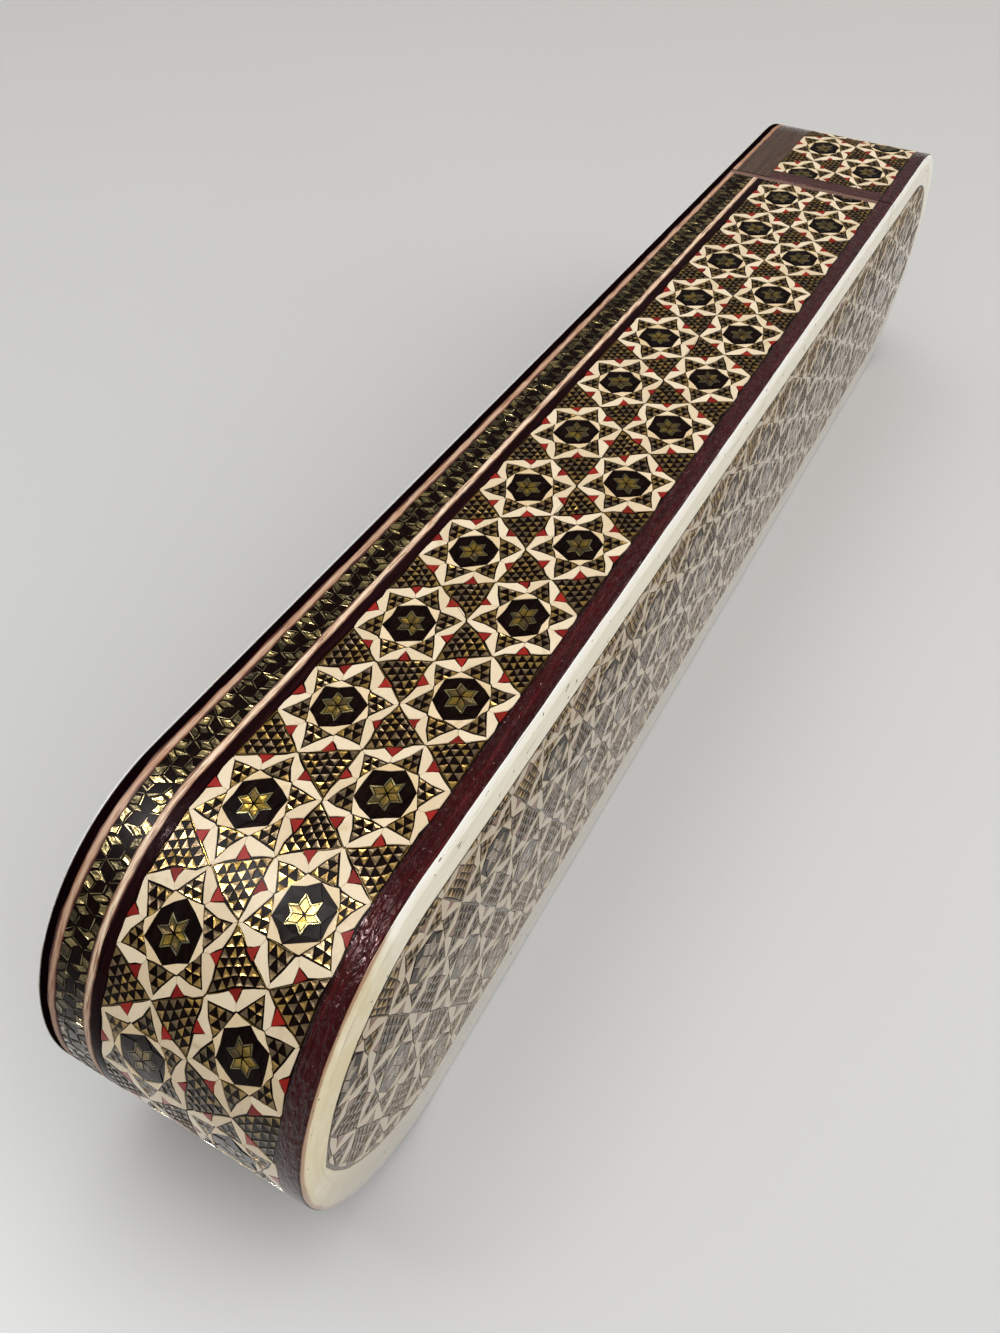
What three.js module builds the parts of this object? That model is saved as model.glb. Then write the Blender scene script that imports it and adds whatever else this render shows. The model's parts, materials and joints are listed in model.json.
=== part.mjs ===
// A wooden pencil box with round ends, dressed all over in star marquetry. A tray slides out of a sleeve,
// and the tray's head closes the sleeve's mouth. The box stands on one of its two long side walls.
//
// Millimetres. X runs through the thickness, Y runs along the length towards the drawer's head, Z is up.
// The origin is under the middle of the box, on the surface that it stands on.

import * as THREE from 'three';

// Overall size
const LENGTH = 210;
const PLATE_WIDTH = 42.8;
const THICKNESS = 29.4;
const HEAD_LENGTH = 41.4;
const SEAM_GAP = 0.3;

// Wooden core
const WALL_BOARD = 2.4;
const PLATE_BOARD = 2.5;
const SLIDE_CLEARANCE = 0.35;
const TRAY_WALL = 2.0;
const TRAY_FLOOR = 2.0;

// Marquetry sheets
const WALL_SHEET = 1.2;
const PLATE_SHEET = 0.5;
const EDGING_WIDTH = 5.2;
const EDGING_WIDTH_AT_TIP = 3.2;

// Strips across a side wall, from the left plate to the right plate. The star band takes what is left.
const DARK_LINE = 0.6;
const OUTER_PINK_LINE = 1.05;
const FLOWER_BAND = 3.2;
const INNER_PINK_LINE = 0.95;
const PLUM_BAND = 1.15;
const MAROON_BAND = 2.1;
const HEAD_PINK_LINE = 0.8;
const MOUTH_LINE = 1.2;
const HEAD_SEAM_BAND = 3.0;

// Straight steps in each half-round end
const ARC_STEPS = 28;

// Levels worked out from the sizes above
const MIDDLE_Z = PLATE_WIDTH / 2;
const OUTER_RADIUS = PLATE_WIDTH / 2;
const CORE_RADIUS = OUTER_RADIUS - WALL_SHEET;
const BORE_RADIUS = CORE_RADIUS - WALL_BOARD;
const TRAY_RADIUS = BORE_RADIUS - SLIDE_CLEARANCE;
const TRAY_INNER_RADIUS = TRAY_RADIUS - TRAY_WALL;

const SHEET_FACE_X = THICKNESS / 2;
const PLATE_FACE_X = SHEET_FACE_X - PLATE_SHEET;
const BORE_FACE_X = PLATE_FACE_X - PLATE_BOARD;
const TRAY_FACE_X = BORE_FACE_X - SLIDE_CLEARANCE;
const TRAY_FLOOR_X = -TRAY_FACE_X + TRAY_FLOOR;

const NEAR_ARC_Y = -LENGTH / 2 + OUTER_RADIUS;
const FAR_ARC_Y = LENGTH / 2 - OUTER_RADIUS;
const MOUTH_Y = LENGTH / 2 - HEAD_LENGTH;
const SHOULDER_Y = MOUTH_Y + SEAM_GAP;
const INLAY_END_Y = MOUTH_Y - MOUTH_LINE;
const HEAD_INLAY_START_Y = SHOULDER_Y + HEAD_SEAM_BAND;

const FIELD_RADIUS = OUTER_RADIUS - EDGING_WIDTH;
const FIELD_ARC_SHIFT = EDGING_WIDTH - EDGING_WIDTH_AT_TIP;

const finishes = {
  coreWood: { color: 0x9c7248, roughness: 0.7, metalness: 0 },
  trayWood: { color: 0xb98a58, roughness: 0.6, metalness: 0 },
  starInlay: { color: 0x8f7f5c, roughness: 0.3, metalness: 0.2 },
  flowerInlay: { color: 0x4c4630, roughness: 0.3, metalness: 0.4 },
  bone: { color: 0xdcd3b8, roughness: 0.35, metalness: 0 },
  pinkWood: { color: 0xc79a80, roughness: 0.4, metalness: 0 },
  maroon: { color: 0x4b141e, roughness: 0.25, metalness: 0 },
  plum: { color: 0x2d1e26, roughness: 0.25, metalness: 0 },
  black: { color: 0x140f0f, roughness: 0.25, metalness: 0 },
};

// Profiles are lists of points (y, z), seen from the side of the box.

function at(y, z) {
  return new THREE.Vector2(y, z);
}

// The half-round end of a radius, from its highest point to its lowest. Way is -1 at the near end, 1 at the far end.
function roundEnd(way, centreY, radius) {
  const points = [];
  for (let step = 0; step <= ARC_STEPS; step += 1) {
    const turn = Math.PI / 2 - way * Math.PI * step / ARC_STEPS;
    points.push(at(centreY + radius * Math.cos(turn), MIDDLE_Z + radius * Math.sin(turn)));
  }
  return points;
}

// A line that leaves cutY high up, goes round the end and comes back low down.
function lineRound(way, centreY, radius, cutY) {
  const points = roundEnd(way, centreY, radius);
  if (cutY === centreY) return points;
  return [at(cutY, MIDDLE_Z + radius), ...points, at(cutY, MIDDLE_Z - radius)];
}

// A full sheet with one round end, cut square at cutY.
function sheetProfile(way, centreY, radius, cutY) {
  return lineRound(way, centreY, radius, cutY);
}

// A strip that lies round the end, between an outer and an inner radius, cut square at cutY.
function stripProfile(way, centreY, outer, inner, cutY) {
  return [...lineRound(way, centreY, outer, cutY), ...lineRound(way, centreY, inner, cutY).reverse()];
}

function boardProfile(fromY, toY, fromZ, toZ) {
  return [at(fromY, fromZ), at(toY, fromZ), at(toY, toZ), at(fromY, toZ)];
}

// The bone edging: its inner line is a narrower half round, set further out so that the edging thins at the tip.
function edgingProfile(way, centreY, cutY) {
  const outerLine = lineRound(way, centreY, OUTER_RADIUS, cutY);
  const innerLine = lineRound(way, centreY + way * FIELD_ARC_SHIFT, FIELD_RADIUS, cutY);
  return [...outerLine, ...innerLine.reverse()];
}

function fieldProfile(way, centreY, cutY) {
  return lineRound(way, centreY + way * FIELD_ARC_SHIFT, FIELD_RADIUS, cutY);
}

// One named piece: a profile that runs through the thickness from fromX to toX.
function piece(group, name, finish, profile, fromX, toX) {
  const shape = new THREE.Shape(profile);
  const geometry = new THREE.ExtrudeGeometry(shape, { depth: toX - fromX, steps: 1, bevelEnabled: false });
  const mesh = new THREE.Mesh(geometry, new THREE.MeshStandardMaterial(finishes[finish]));
  mesh.name = name;
  mesh.position.z = fromX;
  group.add(mesh);
}

const high = (radius) => MIDDLE_Z + radius;
const low = (radius) => MIDDLE_Z - radius;

// Strips are listed from the left plate. Each starts where the one before it ends.
function stripEdges(widths) {
  const edges = [-PLATE_FACE_X];
  for (const width of widths) edges.push(edges[edges.length - 1] + width);
  return edges;
}

const STAR_RIGHT_X = PLATE_FACE_X - MAROON_BAND;
const [darkX, outerPinkX, flowerX, innerPinkX, plumX, starX] = stripEdges(
  [DARK_LINE, OUTER_PINK_LINE, FLOWER_BAND, INNER_PINK_LINE, PLUM_BAND]);

function sleeveCore(group) {
  const board = (name, fromZ, toZ) => piece(group, name, 'coreWood',
    boardProfile(NEAR_ARC_Y, MOUTH_Y, fromZ, toZ), -BORE_FACE_X, BORE_FACE_X);
  board('sleeve_upper_wall', high(BORE_RADIUS), high(CORE_RADIUS));
  board('sleeve_lower_wall', low(CORE_RADIUS), low(BORE_RADIUS));

  piece(group, 'sleeve_round_end', 'coreWood',
    stripProfile(-1, NEAR_ARC_Y, CORE_RADIUS, BORE_RADIUS, NEAR_ARC_Y), -BORE_FACE_X, BORE_FACE_X);

  const plate = sheetProfile(-1, NEAR_ARC_Y, CORE_RADIUS, MOUTH_Y);
  piece(group, 'sleeve_left_plate', 'coreWood', plate, -PLATE_FACE_X, -BORE_FACE_X);
  piece(group, 'sleeve_right_plate', 'coreWood', plate, BORE_FACE_X, PLATE_FACE_X);
}

// The strips run along the upper wall, round the closed end and back along the lower wall.
function sleeveStrips(group) {
  const strip = (name, finish, fromX, toX, cutY) => piece(group, name, finish,
    stripProfile(-1, NEAR_ARC_Y, OUTER_RADIUS, CORE_RADIUS, cutY), fromX, toX);
  strip('sleeve_dark_line', 'black', darkX, outerPinkX, MOUTH_Y);
  strip('sleeve_outer_pink_line', 'pinkWood', outerPinkX, flowerX, INLAY_END_Y);
  strip('sleeve_flower_band', 'flowerInlay', flowerX, innerPinkX, INLAY_END_Y);
  strip('sleeve_inner_pink_line', 'pinkWood', innerPinkX, plumX, INLAY_END_Y);
  strip('sleeve_plum_band', 'plum', plumX, starX, INLAY_END_Y);
  strip('sleeve_star_band', 'starInlay', starX, STAR_RIGHT_X, INLAY_END_Y);
  strip('sleeve_maroon_band', 'maroon', STAR_RIGHT_X, PLATE_FACE_X, MOUTH_Y);

  // A pink line closes off the inlay at the mouth, on each wall.
  const mouthLine = (name, fromZ, toZ) => piece(group, name, 'pinkWood',
    boardProfile(INLAY_END_Y, MOUTH_Y, fromZ, toZ), outerPinkX, STAR_RIGHT_X);
  mouthLine('sleeve_mouth_line_upper', high(CORE_RADIUS), high(OUTER_RADIUS));
  mouthLine('sleeve_mouth_line_lower', low(OUTER_RADIUS), low(CORE_RADIUS));
}

// Both plates carry a panel of stars inside a bone edging.
function plateSheets(group, owner, way, centreY, cutY) {
  const sides = { left: [-SHEET_FACE_X, -PLATE_FACE_X], right: [PLATE_FACE_X, SHEET_FACE_X] };
  for (const [side, [fromX, toX]] of Object.entries(sides)) {
    piece(group, `${owner}_${side}_bone_edging`, 'bone', edgingProfile(way, centreY, cutY), fromX, toX);
    piece(group, `${owner}_${side}_star_panel`, 'starInlay', fieldProfile(way, centreY, cutY), fromX, toX);
  }
}

// The tray runs from the closed end of the sleeve to the block in the head. It is open towards the right plate.
function tray(group) {
  piece(group, 'tray_floor', 'trayWood',
    sheetProfile(-1, NEAR_ARC_Y, TRAY_RADIUS, FAR_ARC_Y), -TRAY_FACE_X, TRAY_FLOOR_X);
  piece(group, 'tray_round_end', 'trayWood',
    stripProfile(-1, NEAR_ARC_Y, TRAY_RADIUS, TRAY_INNER_RADIUS, NEAR_ARC_Y), TRAY_FLOOR_X, TRAY_FACE_X);

  const wall = (name, fromZ, toZ) => piece(group, name, 'trayWood',
    boardProfile(NEAR_ARC_Y, FAR_ARC_Y, fromZ, toZ), TRAY_FLOOR_X, TRAY_FACE_X);
  wall('tray_upper_wall', high(TRAY_INNER_RADIUS), high(TRAY_RADIUS));
  wall('tray_lower_wall', low(TRAY_RADIUS), low(TRAY_INNER_RADIUS));
}

// The head is boxed round the end of the tray, so its shoulder stops against the sleeve's mouth.
function headCore(group) {
  const board = (name, fromZ, toZ) => piece(group, name, 'coreWood',
    boardProfile(SHOULDER_Y, FAR_ARC_Y, fromZ, toZ), -TRAY_FACE_X, TRAY_FACE_X);
  board('head_upper_wall', high(TRAY_RADIUS), high(CORE_RADIUS));
  board('head_lower_wall', low(CORE_RADIUS), low(TRAY_RADIUS));

  piece(group, 'head_end_block', 'coreWood',
    sheetProfile(1, FAR_ARC_Y, CORE_RADIUS, FAR_ARC_Y), -TRAY_FACE_X, TRAY_FACE_X);

  const plate = sheetProfile(1, FAR_ARC_Y, CORE_RADIUS, SHOULDER_Y);
  piece(group, 'head_left_plate', 'coreWood', plate, -PLATE_FACE_X, -TRAY_FACE_X);
  piece(group, 'head_right_plate', 'coreWood', plate, TRAY_FACE_X, PLATE_FACE_X);
}

function headStrips(group) {
  const brownX = outerPinkX + HEAD_PINK_LINE;
  const strip = (name, finish, fromX, toX, cutY) => piece(group, name, finish,
    stripProfile(1, FAR_ARC_Y, OUTER_RADIUS, CORE_RADIUS, cutY), fromX, toX);
  strip('head_dark_line', 'black', darkX, outerPinkX, SHOULDER_Y);
  strip('head_pink_line', 'pinkWood', outerPinkX, brownX, SHOULDER_Y);
  strip('head_brown_band', 'plum', brownX, starX, SHOULDER_Y);
  strip('head_star_band', 'starInlay', starX, STAR_RIGHT_X, HEAD_INLAY_START_Y);
  strip('head_maroon_band', 'maroon', STAR_RIGHT_X, PLATE_FACE_X, SHOULDER_Y);

  const seamBand = (name, fromZ, toZ) => piece(group, name, 'maroon',
    boardProfile(SHOULDER_Y, HEAD_INLAY_START_Y, fromZ, toZ), starX, STAR_RIGHT_X);
  seamBand('head_seam_band_upper', high(CORE_RADIUS), high(OUTER_RADIUS));
  seamBand('head_seam_band_lower', low(OUTER_RADIUS), low(CORE_RADIUS));
}

const sleeve = new THREE.Group();
sleeveCore(sleeve);
sleeveStrips(sleeve);
plateSheets(sleeve, 'sleeve', -1, NEAR_ARC_Y, MOUTH_Y);

const drawer = new THREE.Group();
tray(drawer);
headCore(drawer);
headStrips(drawer);
plateSheets(drawer, 'head', 1, FAR_ARC_Y, SHOULDER_Y);

// A third of a turn about the cube's diagonal sets the profiles upright: their first axis becomes Y, their
// second becomes Z, and their depth becomes X.
const pencilBox = new THREE.Group();
pencilBox.quaternion.set(0.5, 0.5, 0.5, 0.5);
pencilBox.add(sleeve, drawer);

export default pencilBox;
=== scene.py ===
"""A pencil box in star marquetry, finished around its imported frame. All sizes are in metres."""
import json
import math

import bmesh
import bpy
from mathutils import Matrix, Vector

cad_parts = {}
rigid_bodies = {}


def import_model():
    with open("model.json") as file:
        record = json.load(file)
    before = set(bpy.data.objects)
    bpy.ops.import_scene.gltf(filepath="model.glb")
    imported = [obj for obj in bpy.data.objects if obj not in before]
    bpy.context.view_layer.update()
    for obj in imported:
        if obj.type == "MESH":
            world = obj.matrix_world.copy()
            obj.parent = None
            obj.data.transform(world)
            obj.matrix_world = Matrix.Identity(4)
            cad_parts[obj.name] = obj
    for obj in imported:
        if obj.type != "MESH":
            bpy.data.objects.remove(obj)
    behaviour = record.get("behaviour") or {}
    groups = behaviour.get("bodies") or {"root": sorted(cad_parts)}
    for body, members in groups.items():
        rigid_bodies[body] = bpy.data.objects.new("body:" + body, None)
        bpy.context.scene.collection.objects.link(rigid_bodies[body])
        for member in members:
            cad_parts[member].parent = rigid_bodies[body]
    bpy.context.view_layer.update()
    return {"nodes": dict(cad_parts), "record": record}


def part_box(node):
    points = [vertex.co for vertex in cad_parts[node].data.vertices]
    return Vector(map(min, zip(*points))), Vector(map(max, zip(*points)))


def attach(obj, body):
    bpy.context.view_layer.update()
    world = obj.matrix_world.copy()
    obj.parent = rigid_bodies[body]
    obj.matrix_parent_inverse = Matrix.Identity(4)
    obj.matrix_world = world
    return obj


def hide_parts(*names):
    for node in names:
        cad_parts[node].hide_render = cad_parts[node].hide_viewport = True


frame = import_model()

MM = 0.001


def linear(red, green, blue):
    """A display colour from 0 to 255 as the linear numbers that a shader takes."""
    parts = []
    for part in (red, green, blue):
        share = part / 255
        parts.append(share / 12.92 if share <= 0.04045 else ((share + 0.055) / 1.055) ** 2.4)
    return (*parts, 1.0)


# The frame's main places

STAR_LOW, STAR_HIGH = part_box("sleeve_star_band")
FLOWER_LOW, FLOWER_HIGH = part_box("sleeve_flower_band")
PANEL_LOW, PANEL_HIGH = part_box("sleeve_right_star_panel")
HEAD_LOW, HEAD_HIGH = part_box("head_star_band")
FACE_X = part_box("sleeve_right_bone_edging")[1].x

MIDDLE_Z = (STAR_LOW.z + STAR_HIGH.z) / 2
OUTER_RADIUS = (STAR_HIGH.z - STAR_LOW.z) / 2
NEAR_CENTRE = STAR_LOW.y + OUTER_RADIUS
FAR_CENTRE = HEAD_HIGH.y - OUTER_RADIUS
FIELD_RADIUS = (PANEL_HIGH.z - PANEL_LOW.z) / 2
NODE_PREFIX = {"sleeve": "sleeve", "drawer": "head"}

# The inlay's sheet and tiles: their thickness, and how far plain strips and the tiles' ground are sunk

SHEET = 1.2 * MM
TILE_DEPTH = 0.16 * MM
PLAIN_DROP = 0.02 * MM
GROUND_DEPTH = 0.095 * MM

# The strips: their lap, the steps of their sweep, where they stray from straight, and the bevel of the bars

LAP_DEPTH = 0.45 * MM
FLAT_STEP = 2.0 * MM
ARC_STEP = 0.9 * MM
SHARP_TURN = 35
BENT_FROM, BENT_TO = -14.0 * MM, -8.0 * MM
BAR_BEVEL = 0.06 * MM
BAR_STEPS = 24

# The walls' stars and flowers: their pitch along the wall, where the first lies, and a flower's own sizes

STAR_PITCH = 12.84 * MM
SLEEVE_PHASE = 8.575
HEAD_PHASE = 0.067
FLOWER_PITCH = 3.265 * MM
FLOWER_REACH = 2.544 * MM
FLOWER_START = 0.275 * MM
FLOWER_ASIDE = 0.75
LEAF_RIM = 0.12 * MM
OUTLINE_STEPS = 400
SPARE_ROWS = 3

# The plates' stars: their pitch, the step between columns, the place of one of them, and their panel

PANEL_PITCH = 13.0 * MM
PANEL_STEP = 10.75 * MM
PANEL_ROWS_Z = 19.8 * MM
FIRST_PANEL_STAR = -84.4 * MM
PANEL_SHEET = 0.5 * MM
PANEL_MARGIN = 0.4 * MM
TIP_THINNING = 2.0 * MM
THINNING_START = math.radians(20)
THINNING_POWER = 1.7
FIELD_STEPS = 60

# The plates' edging: its lip, the fall of its worn face, its rounded and bevelled edges, and their wander

EDGE_LIP = 0.1 * MM
FACE_FALL = 0.16 * MM
FALL_WIDTH = 1.7 * MM
RIM_ROUNDING = 0.05 * MM
INNER_BEVEL = 0.07 * MM
RIM_WEAR = 0.16 * MM
RIM_WANDER = 0.05 * MM
INNER_WANDER = 0.07 * MM
EDGING_FLATS = 60
EDGING_ARCS = 120

# The tiles' map for the bake: its margin, its width, and the bands that a long wall is folded into

MAP_MARGIN = 0.02
MAP_WIDTH = 1 - 2 * MAP_MARGIN
MAP_BAND = STAR_HIGH.x - STAR_LOW.x + 1.0 * MM
WALL_BANDS = 4
FOLD_SPARE = 0.1 * MM
MAP_SPARE = 2 * MM
PANEL_FOLD = 60 * MM

# The names of the strips' map and the tiles' tone

STRIP_MAP = "strip_way"
TILE_TONE = "tile_tone"


# Sockets and trees


class Value:
    """One output of a tree's node. Sums on it add Math nodes."""

    def __init__(self, tree, socket):
        self.tree = tree
        self.socket = socket

    def maths(self, operation, *terms):
        return self.tree.node("ShaderNodeMath", {"operation": operation}, dict(enumerate(terms)))[0]

    def __add__(self, other):
        return self.maths("ADD", self, other)

    def __radd__(self, other):
        return self.maths("ADD", other, self)

    def __sub__(self, other):
        return self.maths("SUBTRACT", self, other)

    def __rsub__(self, other):
        return self.maths("SUBTRACT", other, self)

    def __mul__(self, other):
        return self.maths("MULTIPLY", self, other)

    def __rmul__(self, other):
        return self.maths("MULTIPLY", other, self)

    def __truediv__(self, other):
        return self.maths("DIVIDE", self, other)

    def __rtruediv__(self, other):
        return self.maths("DIVIDE", other, self)

    def __mod__(self, other):
        return self.maths("FLOORED_MODULO", self, other)

    def __rmod__(self, other):
        return self.maths("FLOORED_MODULO", other, self)

    def __gt__(self, other):
        return self.maths("GREATER_THAN", self, other)

    def __lt__(self, other):
        return self.maths("LESS_THAN", self, other)

    def __abs__(self):
        return self.maths("ABSOLUTE", self)

    def most(self, other):
        return self.maths("MAXIMUM", self, other)

    def least(self, other):
        return self.maths("MINIMUM", self, other)

    def floor(self):
        return self.maths("FLOOR", self)

    def sine(self):
        return self.maths("SINE", self)

    def cosine(self):
        return self.maths("COSINE", self)

    def smooth(self, low, high):
        """0 below low, 1 above high, and a soft step between them."""
        sockets = {"Value": self, "From Min": low, "From Max": high}
        return self.tree.node("ShaderNodeMapRange", {"interpolation_type": "SMOOTHSTEP"}, sockets)[0]


class Made:
    """A node just made, whose outputs are read by name or number."""

    def __init__(self, tree, node):
        self.tree = tree
        self.node = node

    def __getitem__(self, key):
        return Value(self.tree, find_socket(self.node.outputs, key))


def find_socket(sockets, key):
    live = [socket for socket in sockets if socket.enabled]
    if isinstance(key, int):
        return live[key]
    return next(socket for socket in live if socket.name == key)


class Tree:
    """A node tree that is filled by one method."""

    def __init__(self, tree):
        self.tree = tree

    def node(self, kind, settings=None, sockets=None):
        made = self.tree.nodes.new(kind)
        for key, value in (settings or {}).items():
            if key == "stops":
                self.set_stops(made.color_ramp, value)
            else:
                setattr(made, key, value)
        for key, value in (sockets or {}).items():
            socket = find_socket(made.inputs, key)
            for one in value if isinstance(value, list) else [value]:
                if isinstance(one, Value):
                    self.tree.links.new(one.socket, socket)
                else:
                    socket.default_value = one
        return Made(self, made)

    def set_stops(self, ramp, stops):
        while len(ramp.elements) < len(stops):
            ramp.elements.new(0.5)
        for element, (place, colour) in zip(ramp.elements, stops):
            element.position = place
            element.color = linear(*colour)

    def vector(self, operation, sockets):
        return self.node("ShaderNodeVectorMath", {"operation": operation}, sockets)[0]

    def part(self, vector, axis):
        return self.node("ShaderNodeSeparateXYZ", None, {"Vector": vector})[axis]

    def point(self, x, y, z=0.0):
        return self.node("ShaderNodeCombineXYZ", None, {"X": x, "Y": y, "Z": z})[0]


# Finishes


class Finish(Tree):
    """A material with one Principled shader."""

    def __init__(self, name, coat=0.0, coat_roughness=0.06):
        self.material = bpy.data.materials.new(name)
        self.material.use_nodes = True
        super().__init__(self.material.node_tree)
        self.tree.nodes.clear()
        self.shader = self.node("ShaderNodeBsdfPrincipled").node
        self.set("Coat Weight", coat)
        self.set("Coat Roughness", coat_roughness)
        output = self.node("ShaderNodeOutputMaterial").node
        self.tree.links.new(self.shader.outputs["BSDF"], output.inputs["Surface"])

    def set(self, name, value):
        if isinstance(value, Value):
            self.tree.links.new(value.socket, self.shader.inputs[name])
        else:
            self.shader.inputs[name].default_value = value

    def bump(self, height, distance, strength=1.0):
        sockets = {"Height": height, "Distance": distance, "Strength": strength}
        self.set("Normal", self.node("ShaderNodeBump", None, sockets)["Normal"])

    def place(self, scale=(1, 1, 1)):
        """The object's own coordinates, stretched by scale."""
        place = self.node("ShaderNodeTexCoord")["Object"]
        return self.node("ShaderNodeMapping", None, {"Vector": place, "Scale": scale})[0]

    def way(self, scale=(1, 1, 1)):
        """Across and along a strip, from its own map, stretched by scale."""
        place = self.node("ShaderNodeUVMap", {"uv_map": STRIP_MAP})[0]
        return self.node("ShaderNodeMapping", None, {"Vector": place, "Scale": scale})[0]

    def across(self):
        """How far across a strip from its middle, or across an edging from its rim. On a bar it is Y."""
        return self.part(self.way(), "X")

    def below(self, full, none):
        """1 under the height full, fading to 0 at the height none, both in mm."""
        return 1 - self.part(self.place(), "Z").smooth(full * MM, none * MM)

    def tone(self):
        """Each tile's own random number from 0 to 1."""
        return self.node("ShaderNodeAttribute", {"attribute_name": TILE_TONE})["Fac"]

    def noise(self, vector, scale, detail=3.0, roughness=0.55, distortion=0.0):
        sockets = {"Vector": vector, "Scale": scale, "Detail": detail}
        sockets |= {"Roughness": roughness, "Distortion": distortion}
        return self.node("ShaderNodeTexNoise", None, sockets)[0]

    def spots(self, scale, *more):
        """Noise that is alike in every direction."""
        return self.noise(self.place(), scale, *more)

    def grain(self, scale, *more):
        """Noise stretched along the object's axes. scale says how fine it is on each."""
        return self.noise(self.place(scale), 1.0, *more)

    def streaks(self, across, along, *more):
        """Noise stretched along a strip. across and along say how fine it is each way."""
        return self.noise(self.way((across, along, 1)), 1.0, *more)

    def mix(self, share, first, second):
        sockets = {"Factor": share, "A": first, "B": second}
        return self.node("ShaderNodeMix", {"data_type": "RGBA"}, sockets)["Result"]

    def over(self, colour, *layers):
        """A colour with layers mixed over it in turn, each given as (its share, its display colour)."""
        if isinstance(colour, tuple):
            colour = linear(*colour)
        for share, layer in layers:
            colour = self.mix(share, colour, linear(*layer))
        return colour

    def ramp(self, share, *stops):
        """A colour that runs through stops, each given as (its share, its display colour)."""
        return self.node("ShaderNodeValToRGB", {"stops": stops}, {"Fac": share})["Color"]

    def on_plate(self):
        """1 on the two plates and 0 on the wall."""
        return abs(self.part(self.place(), "X")).smooth(13.6 * MM, 14.3 * MM)

    def glare_wash(self):
        """How much painted glare washes the inlay pale, standing in for the floor's reflection at grazing
        angles: on the plates 0.05 at the top and 1 at the foot, low on the wall 0.5.
        """
        plates = self.on_plate() * (self.below(2, 38) * 0.95 + 0.05)
        return plates.most(self.below(5, 20) * 0.5)

    def film(self, least=0.0):
        """Glossy lacquer low on the plates and the wall, rubbed thin on their upper parts."""
        plate = self.on_plate() * (self.below(12, 35) * 0.9 + 0.1)
        self.set("Coat Weight", plate.most(self.below(23, 34)).most(least))
        self.set("Coat Roughness", 0.12)


def bone_tile_finish(name, pale, deep, specks):
    """Bone or pale wood in small tiles: each tile has its own tone, with faint streaks along it."""
    made = Finish(name)
    made.film(0.02)
    made.set("Specular IOR Level", 0.12)
    streaks = made.grain((2600, 900, 900), 4.0, 0.6)
    mottle = made.spots(420.0)
    aged_tone_and_low_shade = (made.tone() * 0.55 + streaks * 0.45).smooth(0.15, 0.95)
    specked = mottle.smooth(0.6, 0.78) * 0.5
    # painted glare: on the plates the tiles grey towards (177, 164, 145), standing in for the floor's
    # reflection at grazing angles
    painted_plate_glare = made.on_plate() * 0.8
    made.set("Base Color", made.over(pale, (aged_tone_and_low_shade, deep), (specked, specks), (painted_plate_glare, (177, 164, 145))))
    made.set("Roughness", 0.34 + streaks * 0.2)
    made.bump(streaks + mottle, 0.01 * MM, 0.6)
    return made.material


def red_tile_finish():
    made = Finish("red_dyed_tiles")
    made.film()
    made.set("Specular IOR Level", 0.12)
    grain = made.grain((3200, 700, 700), 3.0, 0.6)
    deep = made.tone() * 0.6 + grain * 0.4
    # painted glare: on the plates the red greys towards (128, 108, 94), standing in for the floor's
    # reflection at grazing angles
    painted_plate_glare = made.on_plate() * 0.88
    made.set("Base Color", made.over((168, 36, 24), (deep, (106, 16, 12)), (painted_plate_glare, (128, 108, 94))))
    made.set("Roughness", 0.38 + grain * 0.15)
    made.bump(grain, 0.008 * MM, 0.6)
    return made.material


def brass_tile_finish(name, bright, dull, metallic=1.0, plate_glare_share=0.3):
    """Brass under lacquer: cut and hammered by hand, so each piece catches the light on its own.

    The last argument is how much painted glare greys it on the plates at their tops, from 0 to 1.
    """
    made = Finish(name)
    made.film()
    scratches = made.grain((5200, 1300, 1300), 3.0, 0.65)
    grains = made.spots(2600.0, 2.0, 0.6)
    hammered = made.spots(1700.0, 1.0)
    worn = (made.tone() * 0.5 + made.spots(900.0, 3.0, 0.6) * 0.6).smooth(0.2, 0.75)
    # painted shade: the brass darkens towards (80, 73, 62) low on the wall
    aged_tone_and_low_shade = made.below(25, 39) * 0.85
    # painted glare: the brass greys towards (163, 148, 130) and loses metal on the plates and low on the
    # wall, standing in for the floor's reflection
    glare_grey = made.glare_wash().most(made.on_plate() * plate_glare_share) * 0.85
    colour = made.over(bright, (worn, dull), (aged_tone_and_low_shade, (80, 73, 62)), (glare_grey, (163, 148, 130)))
    made.set("Base Color", colour)
    made.set("Metallic", metallic - glare_grey * 0.8)
    made.set("Roughness", 0.24 + worn * 0.14)
    made.bump(scratches * 0.2 + grains * 0.3 + hammered, 0.06 * MM, 0.8)
    return made.material


def ground_finish():
    """The black wood that shows between the tiles, greyed by painted glare on the plates and low on the wall.
    """
    made = Finish("black_ground")
    made.film()
    made.set("Specular IOR Level", 0.05)
    grain = made.grain((2400, 500, 500), 4.0, 0.6)
    cloud = made.spots(260.0, 2.0)
    pores = grain.smooth(0.35, 0.75)
    # painted glare: the black greys towards (116, 101, 84) on the plates and low on the wall
    made.set("Base Color", made.over((10, 3, 2), (pores, (26, 13, 9)), (made.glare_wash(), (116, 101, 84))))
    made.set("Roughness", 0.24 + cloud * 0.16)
    made.bump(grain * 0.6 + cloud, 0.02 * MM, 0.6)
    return made.material


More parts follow.
